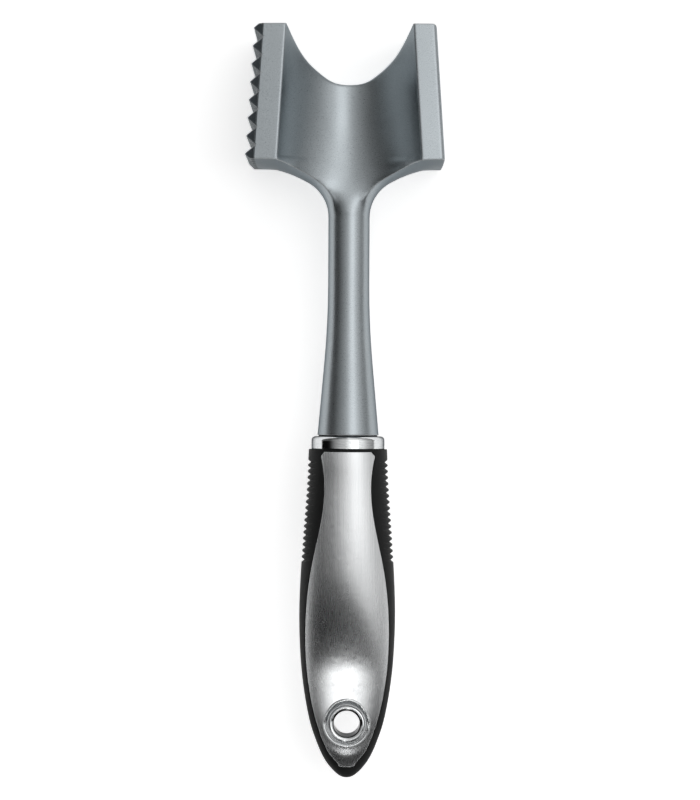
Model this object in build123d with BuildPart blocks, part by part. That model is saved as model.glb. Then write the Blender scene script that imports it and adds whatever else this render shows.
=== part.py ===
"""Meat tenderizer with a cast double-faced mallet head, a finned soft grip and pressed steel handle plates.

Millimetres. The tool lies along Y with its head at +Y. +X points to the flat pounding face, -X to the
toothed face, and +Z out of the front handle plate. The origin is the centre of the hanging hole.
"""

import os
from math import asin, cos, radians, sin, sqrt, tan

from build123d import *

# Overall places along the tool, measured from the hanging hole
tip_to_hole = 18.7
grip_length = 111.5
collar_height = 4.4
seal_thickness = 0.4
shank_length = 91.9
head_height = 45.2

tip_y = -tip_to_hole
rim_y = tip_y + grip_length
collar_top_y = rim_y + collar_height
shank_base_y = collar_top_y + seal_thickness
head_bottom_y = shank_base_y + shank_length
head_top_y = head_bottom_y + head_height

# Mallet head
head_depth = 44.0
head_half_width_top = 28.5
head_half_width_bottom = 31.5
pounding_pad = 0.35
strip_lean = 2.5
head_edge_round = 1.4
rim_round = 0.7
scoop_half_width_top = 21.2
scoop_half_width_bottom = 24.2
waist_top = 12.6
waist_bottom = 13.7
neck_arc_radius = 13.5
neck_arc_turn = 60.0
neck_drop = 18.0
underside_reach = 38.0

# Notch in the top of the head: half width and depth below the top along its right side
notch_outline = ((21.1, 0.0), (18.3, 5.5), (14.6, 11.0), (8.9, 16.0), (0.0, 18.8))
notch_lean = (-0.5, -1)

# Blend of each scoop into the round shank
blend_above_foot = 1.5
blend_above_root = 1.5
blend_steps = 7
blend_skin = 0.05
blend_lift = 0.2
scoop_wall_sweep = 3.0
shank_wrap = 86.0

# Pyramid teeth
tooth_rows = 8
tooth_columns = 7
tooth_pitch = 6.0
tooth_height = 3.4
tooth_tip_flat = 0.4
groove_run_out = 1.0

# Shank and tang
shank_radius = 7.0
shank_base_radius = 10.4
shank_flare_angle = 5.1
shank_flare_radius = 290.0
spigot_radius = 8.6
tang_width = 11.0
tang_thickness = 8.0
tang_length = 58.0
tang_corner = 1.5
tang_taper = 1.0
tang_pin_radius = 1.5
tang_pin_length = 17.0
tang_pin_depths = (14.0, 44.0)

# Collar and seal
collar_radius = 12.4
collar_shoulder = 1.4
collar_foot_round = 0.3
seal_radius = 10.0

# Handle form: distance from the tip, half width and half thickness of each oval section
handle_sections = (
    (0.0, 0.8, 0.6),
    (0.7, 2.6, 1.9),
    (2.6, 4.8, 3.3),
    (5.8, 7.3, 4.6),
    (12.7, 10.5, 5.8),
    (17.5, 12.15, 6.5),
    (23.0, 13.45, 7.4),
    (30.0, 14.65, 8.55),
    (37.0, 15.5, 9.65),
    (46.0, 16.1, 10.75),
    (57.0, 16.3, 11.75),
    (65.5, 16.05, 12.25),
    (74.0, 15.6, 12.55),
    (83.5, 15.0, 12.75),
    (93.0, 14.3, 12.85),
    (102.0, 13.7, 12.95),
    (111.5, 13.3, 13.0),
)
section_length = 111.5
nose_step = 0.65
rubber_thickness = 2.0
rubber_rim_height = 0.8

# Fins on both flanks of the grip
fin_count = 17
fin_pitch = 2.07
fin_groove_width = 1.9
fin_groove_depth = 0.95
fin_lip = 0.2
fin_fade = 1.8
fins_from_rim = 4.4

# Steel plates: distance from the tip and half width along the edge of the plate
plate_thickness = 0.8
plate_edge_gap = 0.15
plate_corner_cut = 1.3
plate_outline = (
    (109.2, 9.1),
    (96.7, 7.85),
    (85.1, 9.3),
    (71.7, 12.1),
    (50.5, 14.1),
    (28.0, 12.3),
    (11.8, 7.6),
    (7.7, 5.2),
    (5.0, 2.9),
    (3.9, 0.0),
)

# Hanging hole
hole_radius = 4.45
eyelet_wall = 0.5
eyelet_flange_radius = 6.2
eyelet_flange_height = 0.9
eyelet_flange_round = 0.4
dish_radius = 7.7
dish_floor_radius = 6.6
dish_floor_z = 4.9
dish_slope_height = 1.9

# Clearances
fit_gap = 0.05
socket_gap = 0.1

half_depth = head_depth / 2
middle_y = (head_bottom_y + head_top_y) / 2
eyelet_radius = hole_radius + eyelet_wall
bed_inset = plate_thickness + fit_gap
core_inset = rubber_thickness + fit_gap
clear_of_all = 60.0
length_scale = grip_length / section_length


def across(y):
    """Plane square to the tool at y, drawn with +X to the right and +Z up."""
    return Plane(origin=(0, y, 0), x_dir=(1, 0, 0), z_dir=(0, -1, 0))


def handle_form(inset):
    """Oval body of the handle, drawn in by inset all round."""
    nose = handle_sections[0]
    rings = [(tip_y + inset, nose[1], nose[2])]
    for along, half_width, half_thickness in handle_sections[1:]:
        y = tip_y + along * length_scale
        if y > tip_y + inset + nose_step and half_thickness - inset > nose[2]:
            rings.append((y, half_width - inset, half_thickness - inset))
    with BuildPart() as form:
        for y, half_width, half_thickness in rings:
            with BuildSketch(across(y)):
                Ellipse(half_width, half_thickness)
        loft()
    return form.part


def section_at(y):
    """Half width and half thickness of the handle at y, between its sections."""
    along = (y - tip_y) / length_scale
    for low, high in zip(handle_sections, handle_sections[1:]):
        if low[0] <= along <= high[0]:
            share = (along - low[0]) / (high[0] - low[0])
            return (
                low[1] + share * (high[1] - low[1]),
                low[2] + share * (high[2] - low[2]),
            )
    return handle_sections[-1][1:]


def plate_prism(grow):
    """Upright prism on the plate's outline, widened by grow, from the middle plane forwards."""
    top_y = rim_y - rubber_rim_height + grow
    edge_points = []
    for along, half_width in plate_outline[:-1]:
        edge_points.append((half_width + grow, tip_y + along * length_scale))
    edge_points.append((0, tip_y + plate_outline[-1][0] * length_scale - grow))
    corner = (edge_points[0][0] - plate_corner_cut, top_y)
    with BuildPart() as prism:
        with BuildSketch():
            with BuildLine():
                edge = Spline(*edge_points, tangents=((-0.25, -1), (-1, 0)))
                Polyline(edge @ 0, corner, (0, top_y), edge @ 1)
            make_face()
            mirror(about=Plane.YZ)
        extrude(amount=clear_of_all)
    return prism.part


def scoop_line(y):
    """Points across the floor of the front scoop at y, which turn into the shank's round at the neck."""
    share = (head_top_y - y) / head_height
    floor = (waist_top + share * (waist_bottom - waist_top)) / 2
    chord = scoop_half_width_top + share * (scoop_half_width_bottom - scoop_half_width_top)
    depth = half_depth - floor
    radius = (chord**2 + depth**2) / (2 * depth)
    sweep = asin(chord / radius) + radians(scoop_wall_sweep)
    step = min(max((blend_top_y - y) / (blend_top_y - blend_end_y), 0), 1)
    blend = step * step * (3 - 2 * step)
    round_radius = shank_radius + blend_skin + max(0, blend_end_y - y) * blend_lift
    points = []
    for count in range(-4, 5):
        turn = count / 4
        hollow = (radius * sin(turn * sweep), floor + radius * (1 - cos(turn * sweep)))
        wrap = turn * radians(shank_wrap)
        bulge = (round_radius * sin(wrap), round_radius * cos(wrap))
        x = hollow[0] + blend * (bulge[0] - hollow[0])
        z = hollow[1] + blend * (bulge[1] - hollow[1])
        points.append((x, z))
    return points


def scoop_face(y):
    """Face square to the tool at y, open upwards from the floor of the front scoop."""
    points = scoop_line(y)
    with BuildSketch(across(y)) as face:
        with BuildLine():
            Spline(*points)
            Polyline(
                points[-1],
                (points[-1][0], clear_of_all),
                (points[0][0], clear_of_all),
                points[0],
            )
        make_face()
    return face.sketch


# Lean of the two striking faces
face_tilt = (head_half_width_bottom - head_half_width_top) / head_height
face_middle = (head_half_width_top + head_half_width_bottom) / 2
face_length = sqrt(1 + face_tilt**2)
face_down = Vector(-face_tilt, -1, 0) / face_length
tooth_reach = tooth_height * face_length

# The flat strips at the front and the back lean away to both sides of a ridge that the scoops remove
strip_slope = tan(radians(strip_lean))
ridge_z = half_depth + strip_slope * scoop_half_width_top
brow_z = ridge_z - strip_slope * clear_of_all

# Tapering block around the head, with the teeth's slab on its left and the pounding face on its right
neck_root_y = head_bottom_y - neck_drop
spread_y = neck_root_y - neck_drop
low_half_width = head_half_width_top + face_tilt * (head_top_y - spread_y)

with BuildPart() as head_block:
    with BuildSketch():
        with BuildLine():
            Polyline(
                (head_half_width_top + pounding_pad, head_top_y),
                (head_half_width_bottom + pounding_pad, head_bottom_y),
                (head_half_width_bottom + pounding_pad, spread_y),
                (-low_half_width - tooth_reach, spread_y),
                (-head_half_width_top - tooth_reach, head_top_y),
                close=True,
            )
        make_face()
    extrude(amount=clear_of_all, both=True)
    with BuildSketch(across(head_top_y)):
        Polygon(
            (-clear_of_all, -brow_z),
            (0, -ridge_z),
            (clear_of_all, -brow_z),
            (clear_of_all, brow_z),
            (0, ridge_z),
            (-clear_of_all, brow_z),
            align=None,
        )
    extrude(amount=head_top_y - spread_y, mode=Mode.INTERSECT)
    head_middle = Vector(head_half_width_bottom, middle_y, 0)
    pounding_face = head_block.faces().sort_by_distance(head_middle)[0]
    foot_edge = pounding_face.edges().sort_by(Axis.Y)[0]
    fillet([edge for edge in pounding_face.edges() if edge != foot_edge], head_edge_round)

# Cutter for the front scoop: straight through the head, then turning into the round shank
blend_top_y = head_bottom_y + blend_above_foot
blend_end_y = neck_root_y + blend_above_root
blend_pitch = (blend_top_y - blend_end_y) / blend_steps
with BuildPart() as head_scoop:
    loft([scoop_face(blend_top_y), scoop_face(head_top_y + head_edge_round)], ruled=True)

with BuildPart() as neck_scoop:
    loft([scoop_face(blend_end_y + count * blend_pitch) for count in range(-1, blend_steps + 1)])

# Mallet head, shank and tang in one casting
with BuildPart() as head_casting:
    # Trumpet underside that sweeps from the shank into the head
    turn = radians(neck_arc_turn)
    arc_end = (
        shank_radius + neck_arc_radius * (1 - cos(turn)),
        neck_root_y + neck_arc_radius * sin(turn),
    )
    with BuildSketch():
        with BuildLine():
            rise = Line((shank_radius, spread_y), (shank_radius, neck_root_y))
            sweep_arc = TangentArc(rise @ 1, arc_end, tangent=(0, 1))
            rim_arc = TangentArc(
                sweep_arc @ 1, (underside_reach, head_bottom_y), tangent=sweep_arc % 1
            )
            Polyline(
                rim_arc @ 1,
                (clear_of_all, head_bottom_y),
                (clear_of_all, head_top_y),
                (0, head_top_y),
                (0, spread_y),
                rise @ 0,
            )
        make_face()
    revolve(axis=Axis.Y)

    # The block trims the sides, the front and the back
    add(head_block.part, mode=Mode.INTERSECT)

    # Scoops in the front and the back
    for cutter in (head_scoop.part, neck_scoop.part):
        add(cutter, mode=Mode.SUBTRACT)
        add(mirror(cutter, about=Plane.XY, mode=Mode.PRIVATE), mode=Mode.SUBTRACT)

    # Rounded notch through the head from front to back
    notch_points = [(half_width, head_top_y - depth) for half_width, depth in notch_outline]
    notch_mouth = (notch_points[0][0] + head_edge_round, head_top_y + head_edge_round)
    with BuildSketch(Plane.XY.offset(-half_depth)):
        with BuildLine():
            notch_side = Spline(*notch_points, tangents=(notch_lean, (-1, 0)))
            Polyline(notch_side @ 0, notch_mouth, (0, notch_mouth[1]), notch_side @ 1)
        make_face()
        mirror(about=Plane.YZ)
    extrude(amount=head_depth, mode=Mode.SUBTRACT)

    # Rounds where the scoops meet the notch, and where they meet the front and the back
    notch_rims = head_casting.edges().filter_by(
        lambda edge: abs(edge.position_at(0.5).Z) < half_depth / 2
        and edge.position_at(0.5).Y > middle_y
        and edge.length > head_depth
    )
    fillet(notch_rims, rim_round)
    strip_rims = head_casting.edges().filter_by(
        lambda edge: abs(edge.position_at(0.5).Z) > half_depth - rim_round
        and abs(edge.position_at(0.5).X) < scoop_half_width_bottom
        and edge.position_at(0.5).Y < head_top_y - rim_round
    )
    fillet(strip_rims, rim_round)

    # Pyramid teeth, left standing by two sets of crossing V grooves
    face_origin = Vector(-face_middle, middle_y, 0)
    groove_slope = tooth_height + groove_run_out
    row_half = (tooth_pitch - tooth_tip_flat) / 2 * groove_slope / tooth_height
    column_pitch = head_depth / tooth_columns
    column_half = (column_pitch - tooth_tip_flat) / 2 * groove_slope / tooth_height
    with BuildSketch(Plane(origin=face_origin, x_dir=face_down, z_dir=(0, 0, -1))):
        for row in range(tooth_rows + 1):
            with Locations(((row - tooth_rows / 2) * tooth_pitch, 0)):
                Polygon((0, 0), (row_half, groove_slope), (-row_half, groove_slope), align=None)
    extrude(amount=head_depth, both=True, mode=Mode.SUBTRACT)

    with BuildSketch(Plane(origin=face_origin, x_dir=(0, 0, 1), z_dir=face_down)):
        for column in range(tooth_columns + 1):
            with Locations(((column - tooth_columns / 2) * column_pitch, 0)):
                Polygon(
                    (0, 0), (column_half, groove_slope), (-column_half, groove_slope), align=None
                )
    extrude(amount=head_depth, both=True, mode=Mode.SUBTRACT)

    # Round shank that flares towards the collar, with the spigot that the collar sits on
    flare_in = radians(shank_flare_angle)
    flare_width = shank_flare_radius * (1 - cos(flare_in))
    cone_top_y = shank_base_y + (shank_base_radius - shank_radius - flare_width) / tan(flare_in)
    cone_top = (shank_radius + flare_width, cone_top_y)
    flare_top = (shank_radius, cone_top_y + shank_flare_radius * sin(flare_in))
    with BuildSketch():
        with BuildLine():
            Polyline(
                (0, rim_y),
                (spigot_radius, rim_y),
                (spigot_radius, shank_base_y),
                (shank_base_radius, shank_base_y),
                cone_top,
            )
            TangentArc(cone_top, flare_top, tangent=(-sin(flare_in), cos(flare_in)))
            Polyline(flare_top, (shank_radius, neck_root_y), (0, neck_root_y), (0, rim_y))
        make_face()
    revolve(axis=Axis.Y)

    # Tapered tang inside the handle, cross-drilled for the pins
    with BuildSketch(across(rim_y)):
        RectangleRounded(tang_width, tang_thickness, tang_corner)
    extrude(amount=tang_length, taper=tang_taper)
    with Locations([(0, rim_y - depth, -clear_of_all / 2) for depth in tang_pin_depths]):
        Cylinder(
            tang_pin_radius + fit_gap,
            clear_of_all,
            align=(Align.CENTER, Align.CENTER, Align.MIN),
            mode=Mode.SUBTRACT,
        )

# Thin seal between the shank and the collar
with BuildPart() as neck_seal:
    with BuildSketch(across(shank_base_y)):
        Circle(seal_radius)
        Circle(spigot_radius + fit_gap, mode=Mode.SUBTRACT)
    extrude(amount=seal_thickness)

# Polished collar between the seal and the grip
with BuildPart() as collar:
    with BuildSketch() as ring_section:
        with Locations((spigot_radius + fit_gap, rim_y)):
            Rectangle(
                collar_radius - spigot_radius - fit_gap, collar_height, align=(Align.MIN, Align.MIN)
            )
        outer_corners = ring_section.vertices().group_by(Axis.X)[-1].sort_by(Axis.Y)
        fillet(outer_corners[-1], collar_shoulder)
        foot_corner = ring_section.vertices().group_by(Axis.Y)[0].sort_by(Axis.X)[-1]
        fillet(foot_corner, collar_foot_round)
    revolve(axis=Axis.Y)

# Forms that the handle's pieces share
outer_form = handle_form(0)
bed_form = handle_form(bed_inset)
core_form = handle_form(core_inset)
sleeve_form = handle_form(rubber_thickness)
back_of_plate = handle_form(plate_thickness)
plate_shape = plate_prism(0)
plate_window = plate_prism(plate_edge_gap)
core_bed = plate_prism(-plate_edge_gap)

# Dish that each plate is pressed into round the hole, and the recess that takes it
dish_top_z = dish_floor_z + 2 * dish_slope_height
dish_top_radius = dish_floor_radius + 2 * (dish_radius - dish_floor_radius)
with BuildPart() as dish_hollow:
    with BuildSketch(Plane.XZ):
        with BuildLine():
            Polyline(
                (0, dish_floor_z),
                (dish_floor_radius, dish_floor_z),
                (dish_top_radius, dish_top_z),
                (0, dish_top_z),
                close=True,
            )
        make_face()
    revolve(axis=Axis.Z)

with BuildPart() as dish_body:
    with BuildSketch(Plane.XZ):
        with BuildLine():
            Polyline(
                (0, dish_floor_z - plate_thickness),
                (dish_floor_radius + plate_thickness, dish_floor_z - plate_thickness),
                (dish_top_radius + plate_thickness, dish_top_z),
                (0, dish_top_z),
                close=True,
            )
        make_face()
    revolve(axis=Axis.Z)

# Rigid core that holds the tang, the pins, the plates and the eyelet
with BuildPart() as beds:
    add(core_bed)
    mirror(about=Plane.XY)
    add(bed_form, mode=Mode.INTERSECT)

with BuildPart() as handle_core:
    add(core_form)
    add(beds.part)
    with BuildSketch(across(rim_y)):
        RectangleRounded(tang_width + 2 * socket_gap, tang_thickness + 2 * socket_gap, tang_corner)
    extrude(amount=tang_length + socket_gap, taper=tang_taper, mode=Mode.SUBTRACT)
    with Locations([(0, rim_y - depth, 0) for depth in tang_pin_depths]):
        Cylinder(tang_pin_radius + fit_gap, tang_pin_length + 2 * fit_gap, mode=Mode.SUBTRACT)
    for side in (1, -1):
        with BuildSketch(Plane.XZ):
            with BuildLine():
                Polyline(
                    (0, side * (dish_floor_z - plate_thickness - fit_gap)),
                    (dish_floor_radius + bed_inset, side * (dish_floor_z - plate_thickness - fit_gap)),
                    (dish_top_radius + bed_inset, side * dish_top_z),
                    (0, side * dish_top_z),
                    close=True,
                )
            make_face()
        revolve(axis=Axis.Z, mode=Mode.SUBTRACT)
    Cylinder(eyelet_radius + fit_gap, clear_of_all, mode=Mode.SUBTRACT)

# Soft grip round the core, open at the front and the back for the plates
with BuildPart() as windows:
    add(plate_window)
    mirror(about=Plane.XY)

with BuildPart() as fin_grooves:
    for groove in range(fin_count):
        y = rim_y - fins_from_rim - groove * fin_pitch
        half_width, half_thickness = section_at(y)
        with BuildSketch(across(y + fin_groove_width / 2)):
            Rectangle(clear_of_all, clear_of_all)
        extrude(amount=fin_groove_width)
        for step, depth in ((-1, -fin_lip), (0, fin_groove_depth), (1, -fin_lip)):
            with BuildSketch(across(y + step * fin_groove_width / 2)):
                Ellipse(half_thickness + fin_fade, half_width - depth, rotation=90)
        loft(ruled=True, mode=Mode.SUBTRACT)

with BuildPart() as soft_grip:
    add(outer_form)
    add(sleeve_form, mode=Mode.SUBTRACT)
    add(windows.part, mode=Mode.SUBTRACT)
    add(fin_grooves.part, mode=Mode.SUBTRACT)

# Front and back plates, pressed to the handle's form, dished round the hole
with BuildPart() as plate_blank:
    add(outer_form)
    add(back_of_plate, mode=Mode.SUBTRACT)
    add(plate_shape, mode=Mode.INTERSECT)
    add(dish_hollow.part, mode=Mode.SUBTRACT)

with BuildPart() as dish_skin:
    add(outer_form)
    add(dish_body.part, mode=Mode.INTERSECT)
    add(dish_hollow.part, mode=Mode.SUBTRACT)
    Cylinder(eyelet_radius + fit_gap, clear_of_all, mode=Mode.SUBTRACT)

with BuildPart() as front_plate:
    add(plate_blank.part)
    add(dish_skin.part)

with BuildPart() as rear_plate:
    add(mirror(front_plate.part, about=Plane.XY, mode=Mode.PRIVATE))

# Tubular eyelet through the hole, with its rounded flange on the front plate
with BuildPart() as hang_eyelet:
    with BuildSketch(Plane.XZ) as eyelet_section:
        with Locations((hole_radius, -dish_floor_z - eyelet_flange_height)):
            Rectangle(
                eyelet_wall,
                2 * (dish_floor_z + eyelet_flange_height),
                align=(Align.MIN, Align.MIN),
            )
        with Locations((hole_radius, dish_floor_z)):
            Rectangle(
                eyelet_flange_radius - hole_radius,
                eyelet_flange_height,
                align=(Align.MIN, Align.MIN),
            )
        flange_corners = eyelet_section.vertices().group_by(Axis.Y)[-1]
        fillet(flange_corners, eyelet_flange_round)
    revolve(axis=Axis.Z)

# Ring pressed over the eyelet's end on the rear plate
with BuildPart() as eyelet_ring:
    with BuildSketch(Plane.XZ) as ring_profile:
        with Locations((eyelet_radius + fit_gap, -dish_floor_z)):
            Rectangle(
                eyelet_flange_radius - eyelet_radius - fit_gap,
                eyelet_flange_height,
                align=(Align.MIN, Align.MAX),
            )
        outer_corner = ring_profile.vertices().group_by(Axis.Y)[0].sort_by(Axis.X)[-1]
        fillet(outer_corner, eyelet_flange_round)
    revolve(axis=Axis.Z)

# Pins that lock the tang in the core
with BuildPart() as tang_pins:
    with Locations([(0, rim_y - depth, 0) for depth in tang_pin_depths]):
        Cylinder(tang_pin_radius, tang_pin_length)

pieces = {
    "head_casting": head_casting,
    "neck_seal": neck_seal,
    "collar": collar,
    "handle_core": handle_core,
    "tang_pins": tang_pins,
    "soft_grip": soft_grip,
    "front_plate": front_plate,
    "rear_plate": rear_plate,
    "hang_eyelet": hang_eyelet,
    "eyelet_ring": eyelet_ring,
}
os.makedirs("parts", exist_ok=True)
for name, piece in pieces.items():
    piece.part.label = name
    export_step(piece.part, f"parts/{name}.step")
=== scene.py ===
"""Looks of a meat tenderizer with a cast mallet head, a finned soft grip and brushed steel plates.

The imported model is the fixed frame. The tool lies along Y with its head at +Y, its front plate faces +Z
and the hanging hole is at the origin. Every length in this script is in metres.
"""

import logging
import math
from dataclasses import dataclass, replace
from enum import Enum
from typing import Any

import bpy
from bpy.types import Material, Node, NodeSocket, NodeTree
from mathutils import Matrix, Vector


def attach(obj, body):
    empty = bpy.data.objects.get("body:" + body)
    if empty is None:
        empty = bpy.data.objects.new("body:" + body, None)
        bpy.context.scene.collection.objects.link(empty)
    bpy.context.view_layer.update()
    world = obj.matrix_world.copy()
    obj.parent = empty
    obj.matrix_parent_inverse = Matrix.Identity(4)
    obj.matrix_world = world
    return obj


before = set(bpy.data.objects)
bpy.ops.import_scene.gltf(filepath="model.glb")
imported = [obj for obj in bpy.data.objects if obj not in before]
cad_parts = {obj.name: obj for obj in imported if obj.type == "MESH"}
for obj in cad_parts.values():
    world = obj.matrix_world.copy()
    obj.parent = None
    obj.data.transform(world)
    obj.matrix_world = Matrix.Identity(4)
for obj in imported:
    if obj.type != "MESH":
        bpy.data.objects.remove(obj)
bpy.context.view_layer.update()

log = logging.getLogger("meat_tenderizer")

MM = 0.001
# Rays that a rounded edge is worked out from, at each point of a surface
EDGE_SAMPLES = 6

Colour = tuple[float, float, float, float]
Triple = tuple[float, float, float]
Sweep = tuple[tuple[float, float], ...]


def linear(hex_colour: str) -> Colour:
    """Turns an sRGB hex colour into the linear colour that a shader takes.

    Args:
        hex_colour: Six hex digits with a leading hash sign.

    Returns:
        Red, green, blue and an alpha of one.
    """
    channels = []
    for start in (1, 3, 5):
        value = int(hex_colour[start:start + 2], 16) / 255
        channels.append(value / 12.92 if value <= 0.04045 else ((value + 0.055) / 1.055) ** 2.4)
    return (channels[0], channels[1], channels[2], 1.0)


def add_node(
    tree: NodeTree,
    kind: str,
    settings: dict[Any, Any] | None = None,
    links: dict[Any, NodeSocket] | None = None,
    stops: list[tuple[float, Colour]] | None = None,
) -> Node:
    """Adds a node with its settings and links.

    Args:
        tree: Node tree that gets the node.
        kind: Blender's name for the node type.
        settings: Values by input name, input number or property name.
        links: Output sockets by the name or number of the input that takes them.
        stops: Place and linear colour of each stop, in rising order, where the node is a colour ramp.

    Returns:
        The new node.
    """
    node = tree.nodes.new(kind)
    for key, value in (settings or {}).items():
        if isinstance(key, int) or key in node.inputs:
            node.inputs[key].default_value = value
        else:
            setattr(node, key, value)
    for key, socket in (links or {}).items():
        tree.links.new(socket, node.inputs[key])
    if stops:
        elements = node.color_ramp.elements
        while len(elements) < len(stops):
            elements.new(0.5)
        for element, (place, colour) in zip(elements, stops):
            element.position = place
            element.color = colour
    return node


def new_material(name: str) -> tuple[Material, NodeTree, Node]:
    """Makes an empty material with a Principled shader on its output.

    Args:
        name: Name of the real material.

    Returns:
        The material, its node tree and the shader node.
    """
    material = bpy.data.materials.new(name)
    material.use_nodes = True
    tree = material.node_tree
    tree.nodes.clear()
    shader = add_node(tree, "ShaderNodeBsdfPrincipled")
    add_node(tree, "ShaderNodeOutputMaterial", links={"Surface": shader.outputs["BSDF"]})
    return material, tree, shader


def grain(tree: NodeTree, size: float, stretch: Triple = (1, 1, 1), detail: float = 2.0) -> NodeSocket:
    """Noise on Object coordinates whose blobs are about one size across.

    Args:
        tree: Node tree that gets the nodes.
        size: Width of one blob in metres.
        stretch: How many times longer a blob is along each axis.
        detail: Octaves of finer noise on top.

    Returns:
        The noise's value socket, centred on one half.
    """
    coordinates = add_node(tree, "ShaderNodeTexCoord")
    mapping = add_node(
        tree,
        "ShaderNodeMapping",
        {"Scale": tuple(1 / (size * times) for times in stretch)},
        {"Vector": coordinates.outputs["Object"]},
    )
    noise = add_node(
        tree,
        "ShaderNodeTexNoise",
        {"Scale": 1.0, "Detail": detail, "Roughness": 0.55},
        {"Vector": mapping.outputs["Vector"]},
    )
    return noise.outputs["Fac"]


def spread_middle(low: float, high: float) -> dict[str, float]:
    """Gives the limits that spread the middle of a value from 0 to 1, where most noise lies, over a range.

    Args:
        low: Result at 0.3 and below.
        high: Result at 0.7 and above.

    Returns:
        Settings of a Map Range node.
    """
    return {"From Min": 0.3, "From Max": 0.7, "To Min": low, "To Max": high}


def hole_radius(tree: NodeTree) -> NodeSocket:
    """Distance from the hanging hole's axis, which runs through every piece's origin.

    Args:
        tree: Node tree that gets the nodes.

    Returns:
        The distance's socket, in metres.
    """
    coordinates = add_node(tree, "ShaderNodeTexCoord")
    flat = add_node(
        tree, "ShaderNodeVectorMath", {"operation": "MULTIPLY", 1: (1.0, 1.0, 0.0)},
        {0: coordinates.outputs["Object"]},
    )
    radius = add_node(tree, "ShaderNodeVectorMath", {"operation": "LENGTH"}, {0: flat.outputs["Vector"]})
    return radius.outputs["Value"]


def relief(tree: NodeTree, edge_round: float, *layers: tuple[NodeSocket, float]) -> NodeSocket:
    """Surface normal with fine relief, over edges that catch the light as if rounded.

    Args:
        tree: Node tree that gets the nodes.
        edge_round: Radius of the edges' round in metres.
        layers: Heights from 0 to 1 with their real heights in metres, which are added up.

    Returns:
        The normal's socket.
    """
    total: NodeSocket | None = None
    for height, size in layers:
        links = {0: height} if total is None else {0: height, 2: total}
        added = add_node(
            tree, "ShaderNodeMath", {"operation": "MULTIPLY_ADD", 1: size / MM, 2: 0.0}, links
        )
        total = added.outputs["Value"]
    worn = add_node(tree, "ShaderNodeBevel", {"samples": EDGE_SAMPLES, "Radius": edge_round})
    bump = add_node(
        tree, "ShaderNodeBump", {"Strength": 1.0, "Distance": MM},
        {"Height": total, "Normal": worn.outputs["Normal"]},
    )
    return bump.outputs["Normal"]


@dataclass(frozen=True)
class Curl:
    """Round swell of a metal edge that is curled over round the hanging hole."""

    inner: float
    outer: float
    height: float

    def layer(self, tree: NodeTree) -> tuple[NodeSocket, float]:
        """Makes the curl as a layer of relief.

        Args:
            tree: Node tree that gets the nodes.

        Returns:
            The curl's height from 0 to 1, and its real height in metres.
        """
        share = add_node(
            tree,
            "ShaderNodeMapRange",
            {"From Min": self.inner, "From Max": self.outer, "To Max": math.pi},
            {"Value": hole_radius(tree)},
        )
        swell = add_node(tree, "ShaderNodeMath", {"operation": "SINE"}, {0: share.outputs["Result"]})
        return swell.outputs["Value"], self.height


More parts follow.
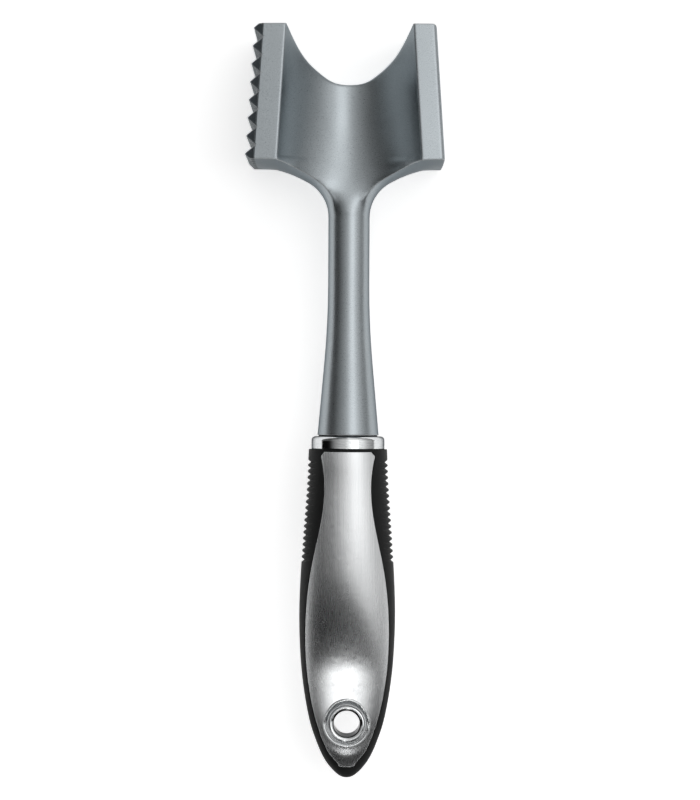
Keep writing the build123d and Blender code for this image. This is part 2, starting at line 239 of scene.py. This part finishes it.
@dataclass(frozen=True)
class CastAluminium:
    """Cast aluminium with a satin bead-blasted skin: grey, soft highlights and a fine metallic sparkle."""

    name: str = "cast_aluminium_bead_blasted"
    dark: str = "#8f969a"
    light: str = "#b9bfc2"
    edge_tint: str = "#888c8f"
    smoothest: float = 0.27
    roughest: float = 0.38
    # Blasted grit leaves dimples of about 0.1 mm; drawn at 0.24 mm so that they show at this distance
    grain_size: float = 0.24 * MM
    bump_height: float = 0.0016 * MM
    cloud_size: float = 16 * MM
    # How far the dimples and the clouds move the skin between its two colours
    grain_shade: float = 0.75
    cloud_shade: tuple[float, float] = (0.10, 0.14)
    edge_round: float = 0.8 * MM
    # Painted highlight on the edges, where rounds catch the light: its colour, and how matt and how metallic
    # the edges are
    edge_highlight: str = "#eef0f0"
    edge_highlight_roughness: float = 0.5
    edge_highlight_metallic: float = 0.55
    # How far a rounded surface turns from the real one where an edge begins and is full, as cosines
    edge_begins: float = 0.96
    edge_full: float = 0.76
    # The toothed face: a point on the plane through the teeth's roots, and the way that the teeth stand
    tooth_root: Triple = (-30 * MM, 212.1 * MM, 0.0)
    tooth_way: Triple = (-0.9978, 0.0662, 0.0)
    tooth_height: float = 3.4 * MM
    # Colour of the painted shade in the valleys between the teeth
    tooth_shade: str = "#8d9194"
    # The hollow is tightest along its middle: depth and half width of that crease, and where it begins
    crease_depth: float = 2.0 * MM
    crease_width: float = 8.0 * MM
    crease_start: float = 172 * MM
    crease_full: float = 204 * MM

    def build(self) -> Material:
        """Makes the material."""
        material, tree, shader = new_material(self.name)
        speck = grain(tree, self.grain_size, detail=1.0)
        cloud = grain(tree, self.cloud_size)
        clouded = add_node(tree, "ShaderNodeMapRange", spread_middle(*self.cloud_shade), {"Value": cloud})
        shade = add_node(
            tree, "ShaderNodeMath", {"operation": "MULTIPLY_ADD", 1: self.grain_shade},
            {0: speck, 2: clouded.outputs["Result"]},
        )
        skin = add_node(
            tree, "ShaderNodeValToRGB", links={"Fac": shade.outputs["Value"]},
            stops=[(0.25, linear(self.dark)), (0.75, linear(self.light))],
        )
        # Mask of the edges that get a painted highlight
        edges = self.find_edges(tree)
        # Painted shade in the valleys between the teeth, under the painted highlight on the edges
        finished = add_node(
            tree, "ShaderNodeMix", {"data_type": "RGBA", 7: linear(self.edge_highlight)},
            {0: edges, 6: self.paint_tooth_shade(tree, skin.outputs["Color"])},
        )
        tree.links.new(finished.outputs[2], shader.inputs["Base Color"])
        shader.inputs["Specular Tint"].default_value = linear(self.edge_tint)
        blasted = add_node(
            tree, "ShaderNodeMapRange", spread_middle(self.smoothest, self.roughest), {"Value": speck}
        )
        # Rougher on the edges, as part of the painted highlight
        roughness = add_node(
            tree, "ShaderNodeMapRange", {"To Max": self.edge_highlight_roughness},
            {"Value": edges, "To Min": blasted.outputs["Result"]},
        )
        tree.links.new(roughness.outputs["Result"], shader.inputs["Roughness"])
        normal = relief(
            tree, self.edge_round, (speck, self.bump_height), (self.crease(tree), self.crease_depth)
        )
        tree.links.new(normal, shader.inputs["Normal"])
        # Less metallic on the edges, as part of the painted highlight
        metallic = add_node(
            tree, "ShaderNodeMapRange", spread_middle(1.0, self.edge_highlight_metallic), {"Value": edges}
        )
        tree.links.new(metallic.outputs["Result"], shader.inputs["Metallic"])
        return material

    def find_edges(self, tree: NodeTree) -> NodeSocket:
        """Finds the outer edges, where a rounded surface would turn away from the real one, for the painted
        highlight.

        Args:
            tree: Node tree that gets the nodes.

        Returns:
            A mask that is 1 on the edges and 0 elsewhere.
        """
        rounded = add_node(tree, "ShaderNodeBevel", {"samples": EDGE_SAMPLES, "Radius": self.edge_round})
        surface = add_node(tree, "ShaderNodeNewGeometry")
        likeness = add_node(
            tree, "ShaderNodeVectorMath", {"operation": "DOT_PRODUCT"},
            {0: rounded.outputs["Normal"], 1: surface.outputs["Normal"]},
        )
        mask = add_node(
            tree, "ShaderNodeMapRange", {"From Min": self.edge_begins, "From Max": self.edge_full},
            {"Value": likeness.outputs["Value"]},
        )
        return mask.outputs["Result"]

    def crease(self, tree: NodeTree) -> NodeSocket:
        """Makes the crease that tightens the middle of the head's hollows, with a bell curve across it.

        Args:
            tree: Node tree that gets the nodes.

        Returns:
            The crease's height, from 0 beside it to -1 along its middle.
        """
        coordinates = add_node(tree, "ShaderNodeTexCoord")
        place = add_node(tree, "ShaderNodeSeparateXYZ", links={"Vector": coordinates.outputs["Object"]})
        squared = add_node(
            tree, "ShaderNodeMath", {"operation": "MULTIPLY"}, {0: place.outputs["X"], 1: place.outputs["X"]}
        )
        scaled = add_node(
            tree, "ShaderNodeMath", {"operation": "MULTIPLY", 1: -0.5 / self.crease_width**2},
            {0: squared.outputs["Value"]},
        )
        bell = add_node(tree, "ShaderNodeMath", {"operation": "EXPONENT"}, {0: scaled.outputs["Value"]})
        begun = add_node(
            tree,
            "ShaderNodeMapRange",
            {
                "interpolation_type": "SMOOTHSTEP",
                "From Min": self.crease_start,
                "From Max": self.crease_full,
                "To Min": 0.0,
                "To Max": -1.0,
            },
            {"Value": place.outputs["Y"]},
        )
        depth = add_node(
            tree, "ShaderNodeMath", {"operation": "MULTIPLY"},
            {0: bell.outputs["Value"], 1: begun.outputs["Result"]},
        )
        return depth.outputs["Value"]

    def paint_tooth_shade(self, tree: NodeTree, colour: NodeSocket) -> NodeSocket:
        """Paints shade into the valleys between the teeth, up to just below the tips.

        Args:
            tree: Node tree that gets the nodes.
            colour: Colour of the blasted skin.

        Returns:
            The colour with painted shade in the valleys.
        """
        coordinates = add_node(tree, "ShaderNodeTexCoord")
        offset = add_node(
            tree, "ShaderNodeVectorMath", {"operation": "SUBTRACT", 1: self.tooth_root},
            {0: coordinates.outputs["Object"]},
        )
        along = add_node(
            tree, "ShaderNodeVectorMath", {"operation": "DOT_PRODUCT", 1: self.tooth_way},
            {0: offset.outputs["Vector"]},
        )
        # The ramp starts a fifth of a tooth below the roots, so that the face itself stays bare
        height = add_node(
            tree,
            "ShaderNodeMapRange",
            {"From Min": -0.2 * self.tooth_height, "From Max": self.tooth_height},
            {"Value": along.outputs["Value"]},
        )
        # Painted shade: the valleys are multiplied by a darker grey, while the face and the tips stay as
        # they are
        bare, dark = (1, 1, 1, 1), linear(self.tooth_shade)
        shade = add_node(
            tree, "ShaderNodeValToRGB", links={"Fac": height.outputs["Result"]},
            stops=[(0.0, bare), (0.17, bare), (0.2, dark), (0.85, dark), (1.0, bare)],
        )
        mixed = add_node(
            tree, "ShaderNodeMix", {"data_type": "RGBA", "blend_type": "MULTIPLY", "Factor": 1.0},
            {6: colour, 7: shade.outputs["Color"]},
        )
        return mixed.outputs[2]


@dataclass(frozen=True)
class BrushedSteel:
    """Stainless steel brushed lengthways: fine lines with the tool, and highlights drawn out across it."""

    name: str = "stainless_steel_brushed"
    dark: str = "#cfd1d2"
    light: str = "#dddedf"
    smoothest: float = 0.255
    roughest: float = 0.275
    anisotropy: float = 1.0
    edge_round: float = 0.3 * MM
    # Belt brushing leaves lines of about 0.05 mm; drawn at 0.28 mm so that they show
    line_width: float = 0.28 * MM
    line_stretch: float = 160.0
    line_roughness: float = 0.015
    bump_height: float = 0.0005 * MM
    smudge_size: float = 14 * MM
    smudge_stretch: float = 1.6
    # Towards its tip the plate falls away a little faster than its solid: from where, to where, how far
    tip_from: float = -3.5 * MM
    tip_to: float = -16 * MM
    tip_fall: float = 1.8 * MM

    def build(self) -> Material:
        """Makes the material."""
        material, tree, shader = new_material(self.name)
        lines = grain(tree, self.line_width, (1, self.line_stretch, 1), 3.0)
        smudge = grain(tree, self.smudge_size, (1, self.smudge_stretch, 1))
        colour = add_node(
            tree, "ShaderNodeValToRGB", links={"Fac": lines},
            stops=[(0.3, linear(self.dark)), (0.7, linear(self.light))],
        )
        tree.links.new(colour.outputs["Color"], shader.inputs["Base Color"])
        lined = add_node(
            tree, "ShaderNodeMapRange", spread_middle(-self.line_roughness, self.line_roughness),
            {"Value": lines},
        )
        smudged = add_node(
            tree, "ShaderNodeMapRange", spread_middle(self.smoothest, self.roughest), {"Value": smudge}
        )
        roughness = add_node(
            tree, "ShaderNodeMath", {"operation": "ADD"},
            {0: lined.outputs["Result"], 1: smudged.outputs["Result"]},
        )
        tree.links.new(roughness.outputs["Value"], shader.inputs["Roughness"])
        normal = relief(
            tree, self.edge_round, (lines, self.bump_height), (self.fall_away(tree), -self.tip_fall)
        )
        tree.links.new(normal, shader.inputs["Normal"])
        across = add_node(tree, "ShaderNodeCombineXYZ", {"X": 1.0})
        tree.links.new(across.outputs["Vector"], shader.inputs["Tangent"])
        shader.inputs["Metallic"].default_value = 1.0
        shader.inputs["Anisotropic"].default_value = self.anisotropy
        return material

    def fall_away(self, tree: NodeTree) -> NodeSocket:
        """Makes the extra fall of the plate towards its tip.

        Args:
            tree: Node tree that gets the nodes.

        Returns:
            The fall's socket, from 0 where it begins to 1 at the tip, ever steeper.
        """
        coordinates = add_node(tree, "ShaderNodeTexCoord")
        place = add_node(tree, "ShaderNodeSeparateXYZ", links={"Vector": coordinates.outputs["Object"]})
        share = add_node(
            tree, "ShaderNodeMapRange", {"From Min": self.tip_from, "From Max": self.tip_to},
            {"Value": place.outputs["Y"]},
        )
        fall = add_node(
            tree, "ShaderNodeMath", {"operation": "MULTIPLY"},
            {0: share.outputs["Result"], 1: share.outputs["Result"]},
        )
        return fall.outputs["Value"]


@dataclass(frozen=True)
class PolishedSteel:
    """Stainless steel turned and polished: bright, nearly a mirror, with faint hairlines and wipe marks."""

    name: str
    smoothest: float = 0.07
    roughest: float = 0.15
    dark: str = "#c4c7c8"
    light: str = "#e3e5e6"
    edge_tint: str = "#5a5c5e"
    edge_round: float = 0.25 * MM
    # Polishing leaves hairlines of a few hundredths of a millimetre; drawn at 0.15 mm so that they show
    hairline: float = 0.15 * MM
    hairline_stretch: float = 12.0
    bump_height: float = 0.0012 * MM
    wipe_size: float = 4 * MM
    curl: Curl | None = None
    # Painted shade inside the tube: the radius within which the piece is painted dark, the width of the
    # change, and the dark colour
    bore_shade_radius: float = 0.0
    bore_shade_fade: float = 0.1 * MM
    bore_shade_colour: str = "#3a3d3f"

    def build(self) -> Material:
        """Makes the material."""
        material, tree, shader = new_material(self.name)
        lines = grain(tree, self.hairline, (self.hairline_stretch, 1, self.hairline_stretch))
        wipe = grain(tree, self.wipe_size)
        colour = add_node(
            tree, "ShaderNodeValToRGB", links={"Fac": lines},
            stops=[(0.25, linear(self.dark)), (0.6, linear(self.light))],
        )
        # Painted shade in the bore, where the piece has one
        tree.links.new(self.paint_bore_shade(tree, colour.outputs["Color"]), shader.inputs["Base Color"])
        wiped = add_node(
            tree, "ShaderNodeMapRange", spread_middle(self.smoothest, self.roughest), {"Value": wipe}
        )
        tree.links.new(wiped.outputs["Result"], shader.inputs["Roughness"])
        curl = (self.curl.layer(tree),) if self.curl else ()
        normal = relief(tree, self.edge_round, (lines, self.bump_height), *curl)
        tree.links.new(normal, shader.inputs["Normal"])
        shader.inputs["Metallic"].default_value = 1.0
        shader.inputs["Specular Tint"].default_value = linear(self.edge_tint)
        return material

    def paint_bore_shade(self, tree: NodeTree, colour: NodeSocket) -> NodeSocket:
        """Paints shade on the steel inside the tube.

        Args:
            tree: Node tree that gets the nodes.
            colour: Colour of the polished steel.

        Returns:
            The colour with painted shade in the bore.
        """
        if self.bore_shade_radius <= 0:
            return colour
        share = add_node(
            tree,
            "ShaderNodeMapRange",
            {"From Min": self.bore_shade_radius, "From Max": self.bore_shade_radius + self.bore_shade_fade},
            {"Value": hole_radius(tree)},
        )
        mixed = add_node(
            tree, "ShaderNodeMix", {"data_type": "RGBA", 6: linear(self.bore_shade_colour)},
            {0: share.outputs["Result"], 7: colour},
        )
        return mixed.outputs[2]


@dataclass(frozen=True)
class MouldedPolymer:
    """Moulded rubber or plastic with a fine spark-eroded texture: near black, matt and a little dusty."""

    name: str
    dark: str
    light: str
    smoothest: float
    roughest: float
    # Spark erosion leaves pits of about 0.1 mm; drawn at 0.25 mm so that they show
    texture_size: float = 0.25 * MM
    bump_height: float = 0.02 * MM
    edge_round: float = 0.3 * MM
    cloud_size: float = 7 * MM
    # Below that of a smooth polymer, since the texture's pits swallow a part of the reflection
    ior: float = 1.24

    def build(self) -> Material:
        """Makes the material."""
        material, tree, shader = new_material(self.name)
        pits = grain(tree, self.texture_size)
        cloud = grain(tree, self.cloud_size)
        colour = add_node(
            tree, "ShaderNodeValToRGB", links={"Fac": cloud},
            stops=[(0.3, linear(self.dark)), (0.75, linear(self.light))],
        )
        tree.links.new(colour.outputs["Color"], shader.inputs["Base Color"])
        clouded = add_node(
            tree, "ShaderNodeMapRange", spread_middle(self.smoothest, self.roughest), {"Value": cloud}
        )
        tree.links.new(clouded.outputs["Result"], shader.inputs["Roughness"])
        normal = relief(tree, self.edge_round, (pits, self.bump_height))
        tree.links.new(normal, shader.inputs["Normal"])
        shader.inputs["IOR"].default_value = self.ior
        return material


def dress(node: str, material: Material) -> None:
    """Gives a CAD node its one material."""
    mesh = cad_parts[node].data
    mesh.materials.clear()
    mesh.materials.append(material)
    log.info("dressed %s in %s", node, material.name)


@dataclass
class Head:
    """Mallet head on its shank, with the seal and the collar at the shank's foot."""

    casting: CastAluminium = CastAluminium()
    # Turned and polished ring: a bright band between the matt shank and the black grip
    collar: PolishedSteel = PolishedSteel("stainless_steel_polished")
    # Moulded rubber ring: a thin black line above the collar
    seal: MouldedPolymer = MouldedPolymer("nitrile_rubber", "#0d0d0e", "#151516", 0.46, 0.56)

    def build(self) -> None:
        """Dresses the head's three pieces."""
        dress("head_casting", self.casting.build())
        dress("collar", self.collar.build())
        dress("neck_seal", self.seal.build())


class Side(Enum):
    """Side of the handle that a plate lies on, with the way it faces along Z."""

    FRONT = 1
    REAR = -1

    @property
    def plate(self) -> str:
        """Name of the plate on this side."""
        return f"{self.name.lower()}_plate"


@dataclass
class DishLip:
    """Rolled lip that a plate has round the dish of the hanging hole."""

    side: Side
    bead_radius: float = 0.48 * MM
    bead_steps: int = 3
    # How far the middle of the bead lies below the plate, and the least radius of its ring
    sunk: float = 0.12 * MM
    ring_radius: float = 7.6 * MM
    points: int = 96
    # Points on each side that a point's radius is smoothed with
    smoothing: int = 2
    # The search for the dish's edge goes inwards, in steps, until the plate falls this steeply
    search_from: float = 10.5 * MM
    search_to: float = 6.8 * MM
    search_steps: int = 37
    steepness: float = 1.2
    # Height above the tool's middle from which the search looks down on the plate
    above: float = 40 * MM

    def build(self, slot: str, material: Material) -> bpy.types.Object:
        """Makes the lip and lets it ride on the tool.

        Args:
            slot: Not used.
            material: Finish of the lip.

        Returns:
            The lip.
        """
        reach = [self.edge_radius(2 * math.pi * turn / self.points) for turn in range(self.points)]
        bpy.ops.object.select_all(action="DESELECT")
        bpy.ops.mesh.primitive_circle_add(vertices=self.points, radius=self.search_from)
        lip = bpy.context.active_object
        lip.name = f"{self.side.plate}_lip"
        for vertex in lip.data.vertices:
            angle = math.atan2(vertex.co.y, vertex.co.x)
            turn = round(angle / (2 * math.pi) * self.points)
            near = [
                reach[(turn + step) % self.points] for step in range(-self.smoothing, self.smoothing + 1)
            ]
            radius = sum(near) / len(near)
            height = self.height(radius, angle) - self.sunk
            vertex.co = (radius * math.cos(angle), radius * math.sin(angle), height * self.side.value)
        bpy.ops.object.convert(target="CURVE")
        lip.data.bevel_depth = self.bead_radius
        lip.data.bevel_resolution = self.bead_steps
        bpy.ops.object.convert(target="MESH")
        bpy.ops.object.mode_set(mode="EDIT")
        bpy.ops.mesh.select_all(action="SELECT")
        bpy.ops.mesh.normals_make_consistent(inside=False)
        bpy.ops.object.mode_set(mode="OBJECT")
        bpy.ops.object.shade_smooth()
        lip.data.materials.append(material)
        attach(lip, "root")
        log.info("made %s, radius %.1f to %.1f mm", lip.name, min(reach) / MM, max(reach) / MM)
        return lip

    def height(self, radius: float, angle: float) -> float | None:
        """Height of the plate above the tool's middle plane, towards the plate's side.

        Args:
            radius: Distance from the hanging hole's axis.
            angle: Angle about that axis.

        Returns:
            The height in metres, or None beside the plate.
        """
        facing = self.side.value
        start = Vector((radius * math.cos(angle), radius * math.sin(angle), self.above * facing))
        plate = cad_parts[self.side.plate]
        hit, place, _, _ = plate.ray_cast(start, Vector((0, 0, -facing)), distance=self.above)
        return place.z * facing if hit else None

    def edge_radius(self, angle: float) -> float:
        """Finds the dish's edge in one direction from the hole.

        Args:
            angle: Angle about the hanging hole's axis.

        Returns:
            The edge's distance from that axis, or the least radius where the edge is nearer or isn't found.
        """
        step = (self.search_from - self.search_to) / (self.search_steps - 1)
        radii = [self.search_from - step * number for number in range(self.search_steps)]
        heights = [self.height(radius, angle) for radius in radii]
        for number in range(1, self.search_steps):
            outer, inner = heights[number - 1], heights[number]
            if outer is not None and inner is not None and (outer - inner) / step > self.steepness:
                return max(radii[number - 1], self.ring_radius)
        return self.ring_radius


@dataclass
class Handle:
    """Soft grip round its core, with a brushed plate on each side and the pins that lock the tang."""

    # Soft rubber moulded over the core: black, with a dull sheen along its fins
    grip: MouldedPolymer = MouldedPolymer("thermoplastic_rubber", "#161717", "#202121", 0.51, 0.61)
    # Hard moulded plastic: darker than the grip and a little glossier
    core: MouldedPolymer = MouldedPolymer("glass_filled_nylon", "#0f1011", "#18191a", 0.38, 0.48)
    # Cut pin stock: bright, but duller than the polished pieces
    pins: PolishedSteel = PolishedSteel("steel_pin", 0.22, 0.30)
    plates: BrushedSteel = BrushedSteel()
    # Edge that rolling leaves bright: a glossy line round the dish of a brushed plate
    lips: PolishedSteel = PolishedSteel("stainless_steel_rolled_lip", 0.14, 0.22)

    def build(self) -> None:
        """Dresses the handle's pieces and gives each plate its lip."""
        dress("soft_grip", self.grip.build())
        dress("handle_core", self.core.build())
        dress("tang_pins", self.pins.build())
        brushed, rolled = self.plates.build(), self.lips.build()
        for side in Side:
            dress(side.plate, brushed)
            DishLip(side).build("brushed_plate", rolled)


@dataclass
class HangingHole:
    """Tubular eyelet in the hanging hole, and the ring that closes it on the back."""

    bore_edge: float = 4.7 * MM
    flange_edge: float = 6.3 * MM
    curl_height: float = 0.3 * MM
    # Pressed and polished: a mirror on the curl, a little duller than the turned collar
    smoothest: float = 0.09
    roughest: float = 0.17

    def build(self) -> None:
        """Dresses the eyelet and its ring."""
        eyelet = PolishedSteel(
            "stainless_steel_eyelet",
            self.smoothest,
            self.roughest,
            curl=Curl(self.bore_edge, self.flange_edge, self.curl_height),
            # Painted shade inside the eyelet's bore
            bore_shade_radius=self.bore_edge,
        )
        dress("hang_eyelet", eyelet.build())
        dress("eyelet_ring", replace(eyelet, name="stainless_steel_ring").build())


@dataclass(frozen=True)
class Softbox:
    """Rectangular lamp whose radiance is the brightness of its face, where 1 is white."""

    name: str
    place: Triple
    width: float
    length: float
    radiance: float

    def build(self, target: Triple) -> None:
        """Makes the lamp, which the camera doesn't see.

        Args:
            target: Point that the lamp faces.
        """
        lamp = bpy.data.lights.new(self.name, "AREA")
        lamp.shape = "RECTANGLE"
        lamp.size, lamp.size_y = self.width, self.length
        lamp.energy = math.pi * self.width * self.length * self.radiance
        holder = bpy.data.objects.new(self.name, lamp)
        bpy.context.scene.collection.objects.link(holder)
        holder.location = self.place
        aim = Vector(target) - Vector(self.place)
        holder.rotation_euler = aim.to_track_quat("-Z", "Y").to_euler()
        holder.visible_camera = False
        log.info("made %s", self.name)


@dataclass
class Studio:
    """Pale floor, soft lamps and the camera straight above the tool."""

    # White paper: matt, and a light of its own lets it show white
    floor_colour: str = "#f4f4f4"
    floor_roughness: float = 0.9
    floor_glow: float = 0.6
    floor_height: float = -22.0 * MM
    floor_size: float = 4.0
    # Two glows in the room, as angles in degrees from straight up and a brightness at each. Across runs
    # to the right, and along runs towards the handle's end
    overhead_across: Sweep = (
        (-88, 0.12), (-60, 0.07), (-35, 0.34), (-8, 0.62), (5, 1.12), (22, 1.08), (46, 0.92), (62, 0.50),
        (88, 0.26),
    )
    overhead_along: Sweep = ((-60, 0.7), (-10, 1.0), (6.5, 1.0), (9.0, 0.02), (65, 0.02), (88, 0.12))
    # How far the overhead glow's end shifts along for each degree across
    overhead_slant: float = 0.13
    foot_across: Sweep = ((-60, 0.03), (-38, 0.7), (-20, 2.9), (14, 2.9), (32, 0.7), (60, 0.06))
    foot_along: Sweep = ((20.0, 0.0), (21.0, 1.0), (24.5, 1.0), (26.5, 0.06), (60, 0.02))
    room_light: float = 1.15
    # The first lamp casts the tool's shadow, and the second lights the tip of the handle
    softboxes: tuple[Softbox, ...] = (
        Softbox("softbox_overhead", (0.42, 0.20, 1.10), 0.50, 0.50, 0.9),
        Softbox("softbox_tip", (-0.04, -0.67, 0.76), 0.12, 0.16, 6.0),
    )
    camera_place: Triple = (0.62 * MM, 109.5 * MM, 950 * MM)
    # Height of the picture at the tool's middle plane
    view_height: float = 272 * MM
    # Turn of the camera about its own axis, in degrees
    camera_roll: float = 0.27
    # Width of the camera's sensor, which Blender takes in millimetres
    sensor: float = 36.0

    def build(self) -> None:
        """Makes the floor, the world, the lamps and the camera."""
        self.make_floor()
        self.make_world()
        for softbox in self.softboxes:
            softbox.build((0, self.camera_place[1], 0))
        self.make_camera()

    def make_floor(self) -> None:
        """Makes the white floor, which keeps the tool's shadow."""
        bpy.ops.object.select_all(action="DESELECT")
        bpy.ops.mesh.primitive_plane_add(
            size=self.floor_size, location=(0, self.camera_place[1], self.floor_height)
        )
        floor = bpy.context.active_object
        floor.name = "floor"
        bpy.ops.object.transform_apply(location=True, rotation=True, scale=True)
        material, tree, shader = new_material("white_paper_floor")
        shader.inputs["Base Color"].default_value = linear(self.floor_colour)
        shader.inputs["Roughness"].default_value = self.floor_roughness
        shader.inputs["Emission Color"].default_value = linear("#ffffff")
        path = add_node(tree, "ShaderNodeLightPath")
        seen = path.outputs["Is Camera Ray"]
        for ray in ("Is Glossy Ray", "Is Transmission Ray"):
            either = add_node(
                tree, "ShaderNodeMath", {"operation": "MAXIMUM"}, {0: seen, 1: path.outputs[ray]}
            )
            seen = either.outputs["Value"]
        glow = add_node(tree, "ShaderNodeMath", {"operation": "MULTIPLY", 1: self.floor_glow}, {0: seen})
        tree.links.new(glow.outputs["Value"], shader.inputs["Emission Strength"])
        floor.data.materials.append(material)
        log.info("made %s", floor.name)

    def make_world(self) -> None:
        """Makes the room: a glow overhead that is broader on the right, and a strong one past the handle."""
        world = bpy.data.worlds.new("studio")
        bpy.context.scene.world = world
        world.use_nodes = True
        tree = world.node_tree
        tree.nodes.clear()
        direction = add_node(tree, "ShaderNodeTexCoord")
        axes = add_node(tree, "ShaderNodeSeparateXYZ", links={"Vector": direction.outputs["Generated"]})
        across = add_node(
            tree, "ShaderNodeMath", {"operation": "ARCTAN2"}, {0: axes.outputs["X"], 1: axes.outputs["Z"]}
        ).outputs["Value"]
        footwards = add_node(
            tree, "ShaderNodeMath", {"operation": "MULTIPLY", 1: -1.0}, {0: axes.outputs["Y"]}
        )
        along = add_node(
            tree, "ShaderNodeMath", {"operation": "ARCSINE"}, {0: footwards.outputs["Value"]}
        ).outputs["Value"]
        slanted = add_node(
            tree, "ShaderNodeMath", {"operation": "MULTIPLY_ADD", 1: -self.overhead_slant},
            {0: across, 2: along},
        ).outputs["Value"]
        overhead = self.glow(tree, (across, self.overhead_across), (slanted, self.overhead_along))
        foot = self.glow(tree, (across, self.foot_across), (along, self.foot_along))
        both = add_node(tree, "ShaderNodeVectorMath", {"operation": "ADD"}, {0: overhead, 1: foot})
        background = add_node(
            tree, "ShaderNodeBackground", {"Strength": self.room_light}, {"Color": both.outputs["Vector"]}
        )
        add_node(tree, "ShaderNodeOutputWorld", links={"Surface": background.outputs["Background"]})

    def glow(self, tree: NodeTree, *sweeps: tuple[NodeSocket, Sweep]) -> NodeSocket:
        """Brightness of one glow in the room, as the product of its sweeps.

        Args:
            tree: The world's node tree.
            sweeps: Pairs of an angle socket in radians and its stops. A stop is an angle in degrees and a
                brightness, in rising order of angle.

        Returns:
            The brightness as a vector socket.
        """
        product: NodeSocket | None = None
        for angle, stops in sweeps:
            share = add_node(
                tree,
                "ShaderNodeMapRange",
                {"From Min": -math.pi / 2, "From Max": math.pi / 2, "To Min": 0.0, "To Max": 1.0},
                {"Value": angle},
            )
            grey = add_node(
                tree, "ShaderNodeValToRGB", links={"Fac": share.outputs["Result"]},
                stops=[((degrees + 90) / 180, (light, light, light, 1.0)) for degrees, light in stops],
            ).outputs["Color"]
            if product is None:
                product = grey
            else:
                joined = add_node(
                    tree, "ShaderNodeVectorMath", {"operation": "MULTIPLY"}, {0: product, 1: grey}
                )
                product = joined.outputs["Vector"]
        return product

    def make_camera(self) -> None:
        """Makes the camera straight above, with the long side of the picture along the tool."""
        camera = bpy.data.cameras.new("camera")
        camera.sensor_width = self.sensor
        camera.lens = self.sensor * self.camera_place[2] / self.view_height
        camera.clip_start, camera.clip_end = 0.01, 10.0
        holder = bpy.data.objects.new("camera", camera)
        bpy.context.scene.collection.objects.link(holder)
        holder.location = self.camera_place
        holder.rotation_euler = (0, 0, math.radians(self.camera_roll))
        bpy.context.scene.camera = holder


def main() -> None:
    """Dresses the tool and sets up the studio."""
    logging.basicConfig(level=logging.INFO, format="%(name)s: %(message)s")
    bpy.context.scene.view_settings.view_transform = "Standard"
    Head().build()
    Handle().build()
    HangingHole().build()
    Studio().build()


if __name__ == "__main__":
    main()
